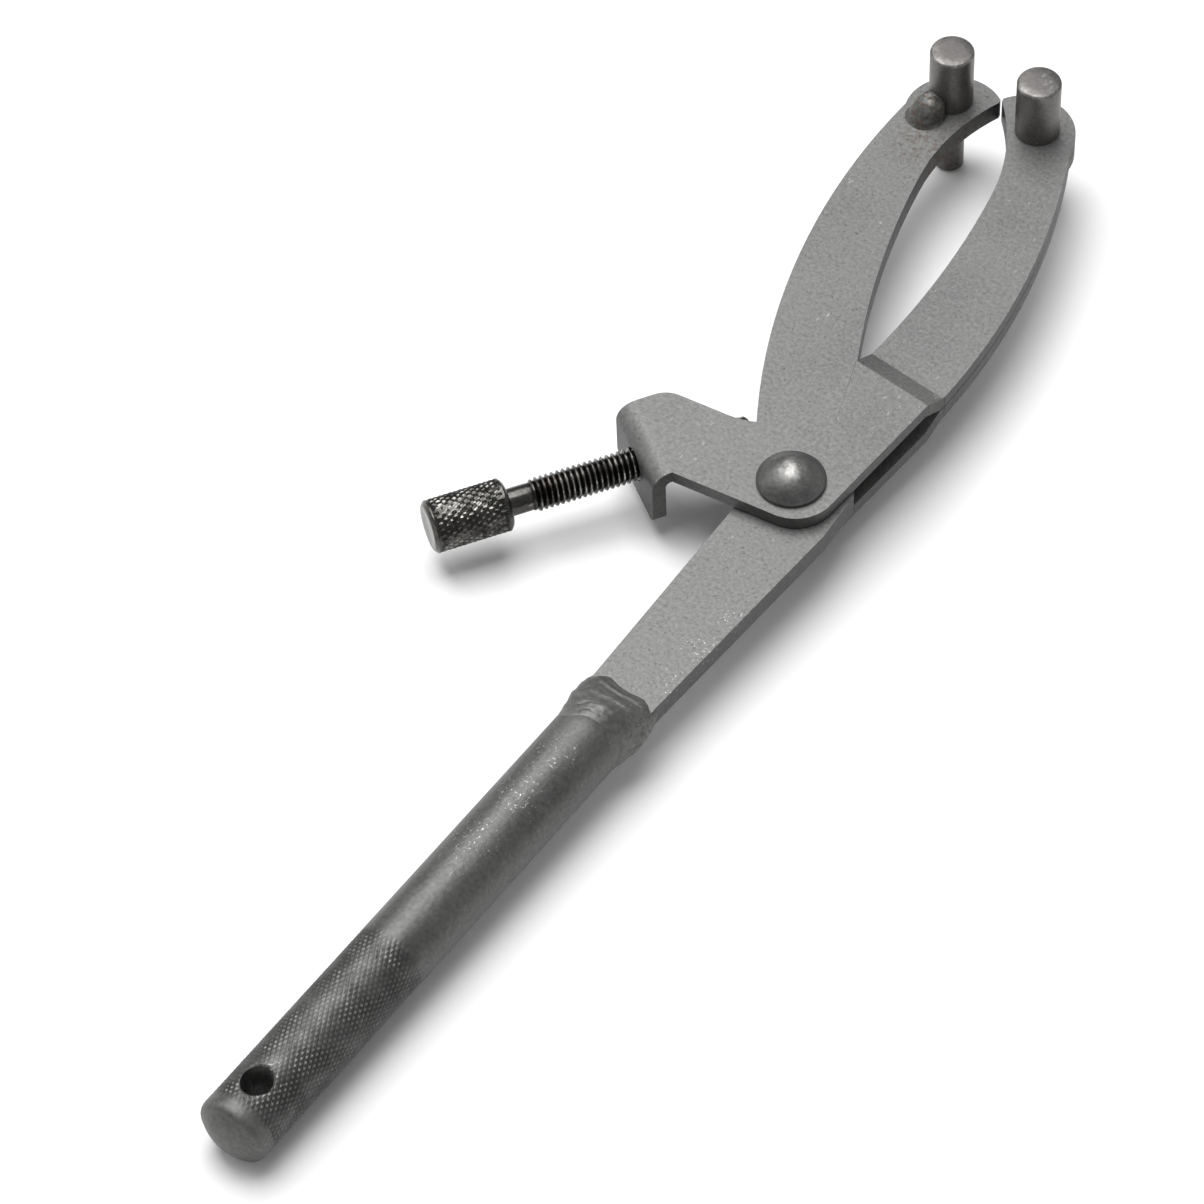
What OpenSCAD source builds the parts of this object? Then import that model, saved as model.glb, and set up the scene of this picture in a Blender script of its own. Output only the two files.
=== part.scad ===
// Adjustable two-pin spanner: a round handle, a fixed jaw, and a jaw that swings on a rivet.
// The origin is the middle of the hang hole, on the handle's axis. +Y runs to the jaws.
// +Z is the side of the thick pins. The jaws are drawn almost closed.

/* [Handle] */
// Diameter of the round handle
handle_d = 12.7; // [10:0.1:18]
// From the hang hole to the domed end
handle_back = 9.5; // [7:0.5:20]
// From the hang hole to the front end of the rod
handle_front = 88; // [60:1:140]
// Height of the domed end
dome_h = 2.6; // [1:0.1:4]
// Diameter of the hang hole
hang_hole_d = 5.3; // [3:0.1:6]
// Chamfer of the hang hole
hang_chamfer = 0.7; // [0.3:0.1:1]

/* [Fixed jaw] */
// Thickness of the bar and its jaw
bar_t = 4; // [3:0.1:6]
// Width of the bar where the weld ends
bar_w_weld = 12.5; // [10:0.5:16]
// Width of the bar beside the pivot
bar_w_pivot = 16.1; // [14:0.5:22]
// Length of the weld from the rod's end along the bar
weld_l = 8.5; // [5:0.5:14]
// Most that the weld stands out past the rod, at each side
weld_bulge = 1.2; // [0.4:0.1:1.6]

/* [Pivot] */
// From the weld's end to the pivot, along the handle
weld_to_pivot = 50; // [35:1:90]
// How far the pivot lies left of the handle's axis
pivot_side = 2; // [0:0.1:4]
// Diameter of the rivet's shank
rivet_d = 8; // [6:0.5:9]
// Diameter of the rivet's heads
rivet_head_d = 12; // [10:0.5:15]
// Height of each rivet head
rivet_head_h = 4; // [2.5:0.1:5]
// Straight edge under the dome of each head
rivet_edge = 0.7; // [0.3:0.1:1.5]
// Running gap round the rivet in the bar
pivot_gap = 0.05; // [0.02:0.01:0.1]

/* [Jaws] */
// Lean of the line on which the jaws close, from the handle's line
jaw_lean = 12.5; // [0:0.5:20]
// Radius of the jaw's outer edge
outer_r = 135; // [110:1:200]
// Widest distance of the outer edge from the closing line
outer_reach = 19.7; // [18:0.1:24]
// Height above the pivot at which the outer edge is widest
outer_y = 58.5; // [50:0.5:70]
// Radius of the long part of the inner edge
inner_r = 163; // [150:1:220]
// Radius of the inner edge near the tip
inner_tip_r = 40; // [30:1:60]
// Widest distance of the inner edge from the closing line
inner_reach = 6.8; // [5:0.1:8]
// Height above the pivot at which the inner edge is widest
inner_y = 75.5; // [68:0.5:80]
// Radius of the jaw's round end
tip_r = 9; // [8:0.1:11]
// Centre of the round end, above the pivot
tip_y = 92; // [84:0.5:100]
// Centre of the round end, from the closing line
tip_x = 6.8; // [5:0.1:9]
// Gap between the two tips when the jaws are closed
tip_gap = 0.5; // [0.3:0.1:3]

/* [Moving jaw] */
// Thickness of each of the two plates
plate_t = 2.5; // [1.5:0.1:3.5]
// Gap between each ear and the bar
ear_gap = 0.3; // [0.1:0.05:0.6]
// Gap between the two plates along the jaw
seam = 0.2; // [0.05:0.05:0.6]
// Length of the sloped step from ear to jaw
joggle_l = 4.2; // [3:0.1:6]
// Lean of the step across the plate, from square to the closing line
joggle_lean = 17.5; // [0:0.5:20]
// Distance of the ear's right edge from the pivot
ear_right = 8.2; // [7.5:0.1:10]
// Radius of the ear's lower corner
ear_corner_r = 7.4; // [5:0.1:7.5]

/* [Wing and screw flange] */
// Width of the wing
wing_w = 15.6; // [14:0.2:20]
// Slope of the wing below square to the handle
wing_lean = 7; // [0:0.5:15]
// Radius of the hollow corner between wing and ear
crotch_r = 12; // [5:0.5:14]
// Radius of the wing's outer corner
wing_corner_r = 5; // [2:0.5:6]
// Distance from the pivot to the flange's outer face, along the screw
flange_reach = 21.7; // [20:0.1:26]
// Width of the flange
flange_w = 17.4; // [14:0.2:20]
// From the wing's top to the flange's lower edge
flange_h = 12.1; // [11:0.1:16]
// Outer radius of the bend
bend_r = 3.6; // [3:0.1:5]

/* [Pins] */
// Diameter of the thick end of each pin
pin_d = 8; // [6:0.1:10]
// Height of the thick end above the jaw
pin_h = 12.4; // [8:0.1:20]
// Diameter of the thin end of each pin
thin_d = 5.3; // [4:0.1:5.5]
// Height of the thin end below the fixed jaw
thin_h = 12.5; // [8:0.1:20]
// Diameter of the pin where it sits in its jaw
seat_d = 6.4; // [6:0.1:7]
// Chamfer on both ends of the pins
pin_chamfer = 0.4; // [0.2:0.1:0.8]
// Distance of each pin from the closing line
pin_x = 8.6; // [7.5:0.1:9.5]
// Fixed pin's height above the pivot, along the closing line
fixed_pin_y = 95; // [90:0.5:96]
// Moving pin's height above the pivot, along the closing line
moving_pin_y = 93.2; // [90:0.1:96]
// Diameter of the weld nugget beside the fixed pin
nugget_d = 6.4; // [4:0.1:8]
// Height of the nugget
nugget_h = 3.2; // [1:0.1:4]

/* [Thumb screw] */
// Direction of the screw, from square to the handle
screw_lean = 57; // [54:0.5:62]
// Distance of the screw's axis below the bar's middle
screw_drop = 1; // [0.9:0.1:1.6]
// Thread diameter
thread_d = 6; // [4:1:6]
// Thread pitch
pitch = 1; // [0.7:0.05:1]
// Gap between the screw's tip and the fixed jaw
tip_stand_off = 0.3; // [0.1:0.1:1]
// Plain neck next to the knob
neck_l = 4; // [2:0.5:6]
// Diameter of the neck
neck_d = 4.9; // [3.2:0.1:5]
// Knob diameter
knob_d = 9.4; // [8:0.1:11]
// Knob length
knob_l = 14.2; // [10:0.1:20]
// Chamfer at both ends of the knob
knob_chamfer = 0.6; // [0.2:0.1:1]
// Radial gap round the thread in the flange
thread_gap = 0.06; // [0.02:0.01:0.1]
// Distance from the flange's outer face to the knob
knob_reach = 23.2; // [23:0.1:40]

/* [Hidden] */
$fn = 96;
steel = [0.60, 0.60, 0.60];
dark_steel = [0.42, 0.42, 0.42];
black_steel = [0.28, 0.28, 0.28];
far = 60;
cut = 1;
join_inset = 0.05;
bend_lap = 0.2;
handle_r = handle_d / 2;
weld_y = handle_front + weld_l;
// Where the weld is widest, as a share of its length, and its heights there and at its end
weld_mid_share = 0.45;
weld_mid_flatness = 0.85;
weld_end_build_up = 1.6;
weld_mid = handle_front + weld_mid_share * weld_l;
weld_mid_h = weld_mid_flatness * handle_d;
weld_end_h = weld_end_build_up * bar_t;
weld_end_rim = 0.5;
weld_slice = 0.01;
pivot = [-pivot_side, weld_y + weld_to_pivot];
bar_shoulder = 5;
fixed_root = 3;
ear_z = bar_t / 2 + ear_gap;
ear_top = ear_z + plate_t;
jaw_z = seam / 2;
jaw_top = jaw_z + plate_t;
// Height at which the two inner edges cross on the closing line: there the ears are still clear of the bar
moving_root = inner_y - sqrt(inner_r * inner_r - (inner_r - inner_reach) * (inner_r - inner_reach));
// Share of the ear's gap that the step's slope may use up before it has passed the bar
joggle_gap_share = 0.8;
joggle_start = moving_root * cos(joggle_lean) - joggle_gap_share * joggle_l * ear_gap / (ear_z - jaw_z);
joggle_shift = plate_t * tan(atan((ear_z - jaw_z) / joggle_l) / 2);
bend_x = flange_reach - bend_r;
wing_turn = screw_lean - wing_lean;
wing_reach = bend_x - bend_lap;
flange_near = (wing_reach * sin(wing_turn) - wing_w / 2) / cos(wing_turn);
flange_far = flange_near + flange_w;
flange_low = ear_top - flange_h;
flange_corner_r = 1.5;
screw_side = flange_near + flange_w / 2;
// Depth of the thread and width of its crest, as shares of its pitch
thread_share = 0.6;
crest_share = 0.12;
thread_depth = thread_share * pitch;
tip_chamfer = 0.4;
tip_half = thread_d / 2 - thread_depth;
// Direction of the nugget from the fixed pin, and how far it reaches into the pin's outline
nugget_turn = 244;
nugget_bite = 1.1;
thin_l = bar_t + thin_h;

function turned(p, a) = [p.x * cos(a) - p.y * sin(a), p.x * sin(a) + p.y * cos(a)];
function unit(v) = v / norm(v);

// Distances of a jaw's outer and inner edges from the closing line, at a height above the pivot
function outer_x(y) = outer_reach - outer_r + sqrt(outer_r * outer_r - (y - outer_y) * (y - outer_y));
function inner_x(y) = inner_reach - inner_r + sqrt(inner_r * inner_r - (y - inner_y) * (y - inner_y));

// Where the screw's tip meets the fixed jaw's outer edge, in the screw's frame
edge_centre = turned(turned([outer_r - outer_reach, outer_y], jaw_lean), -screw_lean);
edge_x = edge_centre.x - sqrt(pow(outer_r, 2) - pow(screw_side - tip_half - edge_centre.y, 2));
screw_l = flange_reach + knob_reach + edge_x - tip_stand_off;

// Arc of radius r that rounds the corner b between a and c
function corner(a, b, c, r, n = 12) =
    let (u = unit(a - b), v = unit(c - b), half = acos(u * v) / 2)
    let (centre = b + unit(u + v) * r / sin(half), start = b + u * r / tan(half) - centre)
    let (first = atan2(start.y, start.x), side = sign(u.y * v.x - u.x * v.y))
    [for (i = [0 : n]) let (t = first + side * (180 - 2 * half) * i / n) centre + r * [cos(t), sin(t)]];

module at_pivot() translate([pivot.x, pivot.y, 0]) children();

// The screw's frame: its X runs along the screw to the tip, from the foot of the pivot's perpendicular
module at_screw() at_pivot() rotate(screw_lean) children();

module slab(bottom, top) translate([0, 0, bottom]) linear_extrude(top - bottom) children();

// Left jaw, with the closing line on +Y and the pivot at the origin, from a root height up
module jaw_plan(root) {
    difference() {
        union() {
            intersection() {
                translate([outer_r - outer_reach, outer_y]) circle(outer_r, $fn = 360);
                translate([-outer_reach - cut, root]) square([far, tip_y - root]);
            }
            translate([-tip_x, tip_y]) circle(tip_r);
        }
        intersection() {
            translate([inner_r - inner_reach, inner_y]) circle(inner_r, $fn = 360);
            translate([-inner_reach - cut, root - cut]) square([far, inner_y - root + cut]);
        }
        translate([inner_tip_r - inner_reach, inner_y]) circle(inner_tip_r, $fn = 180);
        translate([-tip_gap / 2, inner_y]) square([far, tip_y + 2 * tip_r - inner_y]);
    }
}

module fixed_plan() {
    root_y = fixed_root + join_inset;
    root_left = turned([join_inset - outer_x(fixed_root), root_y], jaw_lean);
    root_right = turned([-inner_x(fixed_root) - join_inset, root_y], jaw_lean);
    translate(pivot) rotate(jaw_lean) jaw_plan(fixed_root);
    polygon([
        [bar_w_weld / 2, handle_front],
        [bar_w_weld / 2, weld_y],
        [bar_w_pivot / 2, pivot.y - bar_shoulder],
        pivot + root_right,
        pivot + turned([0, fixed_root + cut], jaw_lean),
        pivot + root_left,
        [-bar_w_pivot / 2, pivot.y - bar_shoulder],
        [-bar_w_weld / 2, weld_y],
        [-bar_w_weld / 2, handle_front]
    ]);
}

// Ear of the moving plates, square to the pivot; the wing is the part that carries the screw
module ear_plan(wing) {
    top_left = turned([inner_x(moving_root) + join_inset, moving_root + join_inset], jaw_lean);
    top_right = turned([outer_x(moving_root) - join_inset, moving_root + join_inset], jaw_lean);
    tie = turned([outer_x(moving_root) / 2, moving_root + cut], jaw_lean);
    low_right = [ear_right, (ear_right * sin(wing_lean) - wing_w / 2) / cos(wing_lean)];
    bend_near = turned([-wing_reach, flange_near], screw_lean);
    bend_far = turned([-wing_reach, flange_far], screw_lean);
    wing_end = turned([(wing_w / 2 - flange_far * cos(wing_turn)) / sin(wing_turn), flange_far], screw_lean);
    crotch = [top_left.x, (top_left.x * sin(wing_lean) + wing_w / 2) / cos(wing_lean)];
    if (wing)
        polygon(concat([tie, top_left], corner(top_left, crotch, wing_end, crotch_r),
            corner(crotch, wing_end, bend_far, wing_corner_r), [bend_far, bend_near],
            corner(bend_near, low_right, top_right, ear_corner_r), [top_right]));
    else {
        polygon([tie, top_left, [top_left.x, 0], [ear_right - join_inset, 0], top_right]);
        circle(ear_right);
    }
}

// Side view of the upper moving plate: ear, sloped step and jaw
module step_profile() {
    polygon([
        [-far, ear_z], [joggle_start, ear_z], [joggle_start + joggle_l, jaw_z], [2 * far, jaw_z],
        [2 * far, jaw_top], [joggle_start + joggle_l + joggle_shift, jaw_top],
        [joggle_start + joggle_shift, ear_top], [-far, ear_top]
    ]);
}

module moving_plate(wing) {
    difference() {
        intersection() {
            at_pivot() rotate(jaw_lean - joggle_lean) translate([-far, 0, 0])
                rotate([90, 0, 90]) linear_extrude(2 * far) step_profile();
            slab(-far, far) union() {
                translate(pivot) rotate(jaw_lean) mirror([1, 0]) jaw_plan(moving_root);
                translate(pivot) ear_plan(wing);
            }
        }
        at_pivot() cylinder(d = rivet_d, h = 4 * far, center = true);
        at_moving_pin() cylinder(d = seat_d, h = 4 * far, center = true);
    }
}

module at_fixed_pin() at_pivot() rotate(jaw_lean) translate([-pin_x, fixed_pin_y, 0]) children();
module at_moving_pin() at_pivot() rotate(jaw_lean) translate([pin_x, moving_pin_y, 0]) children();

// The bend and the tab under it, which the thumb screw passes through
module flange() {
    bend_z = ear_top - bend_r;
    near = flange_near + join_inset;
    far_side = flange_far - join_inset;
    difference() {
        intersection() {
            translate([0, far_side, 0]) rotate([90, 0, 0]) linear_extrude(far_side - near) {
                intersection() {
                    translate([-bend_x, bend_z]) difference() {
                        circle(bend_r);
                        circle(bend_r - plate_t);
                    }
                    translate([-bend_x - far, bend_z]) square(far);
                }
                translate([-bend_x, ear_z]) square([2 * bend_lap, plate_t]);
                translate([-flange_reach, flange_low]) square([plate_t, bend_z - flange_low]);
            }
            translate([-far, 0, 0]) rotate([90, 0, 90]) linear_extrude(far) polygon(concat(
                [[far_side, far], [near, far]],
                corner([near, far], [near, flange_low], [far_side, flange_low], flange_corner_r),
                corner([near, flange_low], [far_side, flange_low], [far_side, far], flange_corner_r)));
        }
        translate([-far, screw_side, -screw_drop]) rotate([0, 90, 0])
            cylinder(r = thread_d / 2 + thread_gap, h = far);
    }
}

// Stepped pin: its shoulder stands on a jaw's top face
module stepped_pin(face) {
    r = pin_d / 2;
    thin_r = thin_d / 2;
    top = face + pin_h;
    low = face - thin_l;
    rotate_extrude() polygon([
        [0, low], [thin_r - pin_chamfer, low], [thin_r, low + pin_chamfer], [thin_r, -face],
        [seat_d / 2, -face], [seat_d / 2, face], [r, face], [r, top - pin_chamfer],
        [r - pin_chamfer, top], [0, top]
    ]);
}

module rivet_head_profile() {
    dome = rivet_head_h - rivet_edge;
    head_r = rivet_head_d / 2;
    dome_r = (head_r * head_r + dome * dome) / (2 * dome);
    intersection() {
        translate([0, ear_top + rivet_head_h - dome_r]) circle(dome_r, $fn = 180);
        translate([0, ear_top]) square([head_r, rivet_head_h]);
    }
}

// Slice of the weld across the handle
module weld_slice_at(y, w, h) translate([0, y, 0]) rotate([-90, 0, 0])
    linear_extrude(weld_slice) scale([w / 2, h / 2]) circle(1, $fn = 32);

module handle() {
    dome_r = (handle_r * handle_r + dome_h * dome_h) / (2 * dome_h);
    color(dark_steel) difference() {
        rotate([-90, 0, 0]) rotate_extrude() {
            intersection() {
                translate([0, dome_r - handle_back]) circle(dome_r, $fn = 180);
                translate([0, -handle_back]) square([handle_r, dome_h]);
            }
            translate([0, dome_h - handle_back]) square([handle_r, handle_back + handle_front - dome_h]);
        }
        cylinder(d = hang_hole_d, h = 2 * far, center = true);
        for (side = [0, 1]) mirror([0, 0, side]) translate([0, 0, handle_r - hang_chamfer])
            cylinder(r1 = hang_hole_d / 2, r2 = hang_hole_d / 2 + 2 * hang_chamfer, h = 2 * hang_chamfer);
    }
}

module fixed_jaw() {
    color(steel) difference() {
        slab(-bar_t / 2, bar_t / 2) fixed_plan();
        at_pivot() cylinder(r = rivet_d / 2 + pivot_gap, h = 2 * bar_t, center = true);
        at_fixed_pin() cylinder(d = seat_d, h = 2 * bar_t, center = true);
    }
}

module handle_weld() {
    color(dark_steel) difference() {
        hull() {
            weld_slice_at(handle_front, handle_d, handle_d);
            weld_slice_at(weld_mid, handle_d + 2 * weld_bulge, weld_mid_h);
            weld_slice_at(weld_y - weld_slice, bar_w_weld + 2 * weld_end_rim, weld_end_h);
        }
        slab(-bar_t / 2, bar_t / 2) fixed_plan();
    }
}

module fixed_pin() color(black_steel) at_fixed_pin() stepped_pin(bar_t / 2);

// A flat-domed nugget of weld metal that leans against the fixed pin
module pin_weld() {
    nugget_r = nugget_d / 2;
    cap_r = (nugget_r * nugget_r + nugget_h * nugget_h) / (2 * nugget_h);
    color(dark_steel) difference() {
        at_fixed_pin() rotate(nugget_turn) translate([pin_d / 2 + nugget_d / 2 - nugget_bite, 0, bar_t / 2])
            rotate_extrude() intersection() {
                translate([0, nugget_h - cap_r]) circle(cap_r);
                square([nugget_r, nugget_h]);
            }
        at_fixed_pin() stepped_pin(bar_t / 2);
    }
}

module upper_jaw_plate() {
    color(steel) {
        moving_plate(true);
        at_screw() flange();
    }
}

module lower_jaw_plate() color(steel) mirror([0, 0, 1]) moving_plate(false);

module pivot_rivet() {
    color(steel) at_pivot() rotate_extrude() {
        translate([0, -ear_top]) square([rivet_d / 2, 2 * ear_top]);
        rivet_head_profile();
        mirror([0, 1]) rivet_head_profile();
    }
}

module moving_pin() color(black_steel) at_moving_pin() stepped_pin(jaw_top);

// Screw turned in one piece; its profile runs from the knob's end to the tip
module thumb_screw() {
    root_r = thread_d / 2 - thread_depth;
    turns = floor((screw_l - neck_l - tip_chamfer) / pitch) - 1;
    thread_start = neck_l + pitch;
    ridges = [for (i = [0 : turns - 1]) each [
        [root_r, thread_start + i * pitch],
        [thread_d / 2, thread_start + (i + (1 - crest_share) / 2) * pitch],
        [thread_d / 2, thread_start + (i + (1 + crest_share) / 2) * pitch]
    ]];
    thread_end = thread_start + turns * pitch;
    color(black_steel) at_screw() translate([-flange_reach - knob_reach, screw_side, -screw_drop])
        rotate([0, 90, 0]) rotate_extrude() polygon(concat([
            [0, -knob_l], [knob_d / 2 - knob_chamfer, -knob_l], [knob_d / 2, knob_chamfer - knob_l],
            [knob_d / 2, -knob_chamfer], [knob_d / 2 - knob_chamfer, 0],
            [neck_d / 2, 0], [neck_d / 2, neck_l]
        ], ridges, [
            [root_r, thread_end], [root_r, screw_l - tip_chamfer / 2], [root_r - tip_chamfer, screw_l],
            [0, screw_l]
        ]));
}

handle();
fixed_jaw();
handle_weld();
fixed_pin();
pin_weld();
upper_jaw_plate();
lower_jaw_plate();
pivot_rivet();
moving_pin();
thumb_screw();
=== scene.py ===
import bpy
import bmesh
import math
from mathutils import Matrix, Vector, noise


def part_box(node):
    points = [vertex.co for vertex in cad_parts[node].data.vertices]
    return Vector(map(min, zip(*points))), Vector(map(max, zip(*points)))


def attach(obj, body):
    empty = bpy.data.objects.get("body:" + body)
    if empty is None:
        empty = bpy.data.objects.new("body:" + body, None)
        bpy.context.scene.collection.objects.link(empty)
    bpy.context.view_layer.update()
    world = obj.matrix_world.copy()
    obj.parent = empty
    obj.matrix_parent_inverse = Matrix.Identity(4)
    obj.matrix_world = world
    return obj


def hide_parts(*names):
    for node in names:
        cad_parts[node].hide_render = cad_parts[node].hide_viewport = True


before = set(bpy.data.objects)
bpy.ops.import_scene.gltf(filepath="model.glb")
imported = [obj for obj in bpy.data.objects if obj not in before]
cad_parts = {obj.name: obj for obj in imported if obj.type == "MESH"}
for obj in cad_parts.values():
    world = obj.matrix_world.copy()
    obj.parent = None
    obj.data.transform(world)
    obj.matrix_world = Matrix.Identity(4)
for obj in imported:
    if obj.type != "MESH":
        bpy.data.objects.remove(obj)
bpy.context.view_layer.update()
print("frame loaded")

mm = 0.001
scene = bpy.context.scene


def middleOf(node):
    low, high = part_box(node)
    return (Vector(low) + Vector(high)) / 2


# each finish's bright wear colour also paints a highlight on knurl and thread crests
plateFinish = {
    "dark": (0.098, 0.098, 0.097), "light": (0.212, 0.212, 0.209), "patch": 45, "grain": 1500,
    "rough": (0.42, 0.62), "metal": 0.6, "bump": 0.35, "speck": 0.3,
    "worn": (0.46, 0.455, 0.44), "pits": 0.55,
}
handleFinish = {
    "dark": (0.070, 0.071, 0.069), "light": (0.142, 0.143, 0.139), "patch": 60, "grain": 1300,
    "rough": (0.36, 0.56), "metal": 0.65, "bump": 0.35, "speck": 0.3,
    "worn": (0.24, 0.24, 0.235), "pits": 0.3,
}
weldFinish = {
    "dark": (0.072, 0.073, 0.070), "light": (0.168, 0.169, 0.162), "patch": 120, "grain": 1100,
    "rough": (0.34, 0.58), "metal": 0.6, "bump": 0.45, "speck": 0.35,
    "worn": (0.42, 0.41, 0.39), "pits": 0.3,
}
pinFinish = {
    "dark": (0.088, 0.084, 0.081), "light": (0.165, 0.158, 0.153), "patch": 120, "grain": 1700,
    "rough": (0.34, 0.50), "metal": 0.7, "bump": 0.2, "speck": 0.15,
    "worn": (0.50, 0.49, 0.47), "pits": 0.1,
}
rivetFinish = {
    "dark": (0.082, 0.082, 0.081), "light": (0.158, 0.158, 0.155), "patch": 160, "grain": 1500,
    "rough": (0.30, 0.50), "metal": 0.7, "bump": 0.3, "speck": 0.3,
    "worn": (0.50, 0.49, 0.47), "pits": 0.2,
}
screwFinish = {
    "dark": (0.034, 0.033, 0.030), "light": (0.110, 0.108, 0.102), "patch": 150, "grain": 1800,
    "rough": (0.17, 0.30), "metal": 0.95, "bump": 0.2, "speck": 0.15,
    "worn": (0.62, 0.61, 0.58), "pits": 0.0,
}
markSpec = {  # the sizes are noise scales, and a share is how far a mark covers the steel
    "scarSize": 1500.0, "scarCluster": 95.0, "scarGain": 1.6, "pitSize": 2300.0, "paintedShadeShare": 0.85,
    "rubAndGlintSize": 420.0, "rubAndGlintShare": 0.6, "rubPolish": 0.12, "fleckSize": 1900.0, "fleckShare": 0.85,
    "rustSize": 900.0, "bumpDistance": 0.00012,
    # the second colour here is a painted shade for grooves, thread roots, steep walls and rounded edges
    "pit": (0.020, 0.020, 0.019, 1), "paintedShadeTint": (0.014, 0.014, 0.013, 1), "fleck": (0.72, 0.71, 0.69, 1),
    "rustDark": (0.030, 0.014, 0.008), "rustLight": (0.105, 0.046, 0.022),
}


def nodeAdder(tree):  # gives a function that adds a node and fills its inputs by name or by place, as i0
    def add(kind, settings=None, **inputs):
        node = tree.nodes.new(kind)
        for key, value in (settings or {}).items():
            setattr(node, key, value)
        for key, value in inputs.items():
            byPlace = key[0] == "i" and key[1:].isdigit()
            socket = node.inputs[int(key[1:])] if byPlace else node.inputs[key]
            if isinstance(value, bpy.types.NodeSocket):
                tree.links.new(value, socket)
            else:
                socket.default_value = value
        return node
    return add


def ramp(add, value, stops):
    node = add("ShaderNodeValToRGB", i0=value)
    while len(node.color_ramp.elements) < len(stops):
        node.color_ramp.elements.new(0.5)
    for element, (place, shade) in zip(node.color_ramp.elements, stops):
        element.position = place
        element.color = (*shade, 1) if isinstance(shade, tuple) else (shade, shade, shade, 1)
    return node.outputs[0]


def calcAdder(add):
    def calc(kind, a, b=0.0, c=0.0, clamp=False):
        return add("ShaderNodeMath", {"operation": kind, "use_clamp": clamp}, i0=a, i1=b, i2=c).outputs[0]
    return calc


def steelMaterial(name, finish, rustSpots=(), brightSpots=()):
    marks = markSpec
    material = bpy.data.materials.new(name)
    material.use_nodes = True
    tree = material.node_tree
    add = nodeAdder(tree)
    calc = calcAdder(add)
    shader = tree.nodes["Principled BSDF"]
    place = add("ShaderNodeTexCoord").outputs["Object"]

    def cloud(scale, detail, rough, where=place):
        return add("ShaderNodeTexNoise", i2=scale, i3=detail, i4=rough, Vector=where).outputs[0]

    def gate(value, low, high):  # nothing below low, everything above high
        return ramp(add, value, [(low, 0.0), (high, 1.0)])

    def cover(under, mask, share, tint):
        amount = calc("MULTIPLY", mask, share, clamp=True)
        return add("ShaderNodeMix", {"data_type": "RGBA", "clamp_factor": True},
                   i0=amount, i6=under, i7=tint).outputs[2]

    def spot(centre, reach):
        away = add("ShaderNodeVectorMath", {"operation": "DISTANCE"}, i0=place, i1=centre).outputs["Value"]
        return add("ShaderNodeMapRange", {"interpolation_type": "SMOOTHSTEP"}, Value=away,
                   i1=reach, i2=reach * 0.3, i3=0.0, i4=1.0).outputs[0]

    patches = cloud(finish["patch"], 6.0, 0.62)
    grain = cloud(finish["grain"], 2.0, 0.6)
    blend = calc("ADD", calc("MULTIPLY", patches, 0.55), calc("MULTIPLY", grain, 0.45))
    colour = ramp(add, blend, [(0.33, finish["dark"]), (0.66, finish["light"])])

    # short bright scars that gather in clusters
    stretched = add("ShaderNodeMapping", Vector=place, Scale=(1.0, 0.4, 1.0)).outputs[0]
    scars = cloud(marks["scarSize"], 2.0, 0.5, stretched)
    clusters = gate(cloud(marks["scarCluster"], 2.0, 0.5), 0.50, 0.64)
    scarred = calc("MULTIPLY", gate(scars, 0.66, 0.72), clusters)
    colour = cover(colour, scarred, finish["speck"] * marks["scarGain"], (*finish["worn"], 1))

    # fine dark pits
    pits = gate(cloud(marks["pitSize"], 1.0, 0.5), 0.66, 0.74)
    colour = cover(colour, pits, finish["pits"], marks["pit"])

    # painted shade in the knurls' grooves and the thread's root, and on the plates' steep walls and rounded
    # edges
    groove = add("ShaderNodeAttribute", {"attribute_name": "groove"}).outputs["Fac"]
    colour = cover(colour, groove, marks["paintedShadeShare"], marks["paintedShadeTint"])

    # edges rubbed bright, and a painted highlight on the knurls' and the thread's crests along with their
    # wear
    worn = add("ShaderNodeAttribute", {"attribute_name": "worn"}).outputs["Fac"]
    rubbed = calc("MULTIPLY", worn, gate(cloud(marks["rubAndGlintSize"], 4.0, 0.7), 0.45, 0.62))
    colour = cover(colour, rubbed, marks["rubAndGlintShare"], (*finish["worn"], 1))

    for centre, reach in brightSpots:
        flecks = gate(cloud(marks["fleckSize"], 4.0, 0.7), 0.61, 0.68)
        bright = calc("MULTIPLY", spot(centre, reach), flecks)
        colour = cover(colour, bright, marks["fleckShare"], marks["fleck"])
    for centre, reach, strength in rustSpots:
        stains = gate(cloud(marks["rustSize"], 5.0, 0.7), 0.50, 0.60)
        brown = ramp(add, grain, [(0.3, marks["rustDark"]), (0.7, marks["rustLight"])])
        colour = cover(colour, calc("MULTIPLY", spot(centre, reach), stains), strength, brown)

    roughness = add("ShaderNodeMapRange", Value=patches, i1=0.3, i2=0.7,
                    i3=finish["rough"][0], i4=finish["rough"][1]).outputs[0]
    roughness = calc("SUBTRACT", roughness, calc("MULTIPLY", rubbed, marks["rubPolish"]))
    height = calc("ADD", calc("MULTIPLY", grain, 0.7), calc("MULTIPLY", scars, 0.6))
    bump = add("ShaderNodeBump", Strength=finish["bump"], Distance=marks["bumpDistance"], Height=height)
    tree.links.new(colour, shader.inputs["Base Color"])
    tree.links.new(roughness, shader.inputs["Roughness"])
    tree.links.new(bump.outputs[0], shader.inputs["Normal"])
    shader.inputs["Metallic"].default_value = finish["metal"]
    return material


def spotAt(node, x=0, y=0, z=0):
    return tuple(middleOf(node) + Vector((x, y, z)) * mm)


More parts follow.
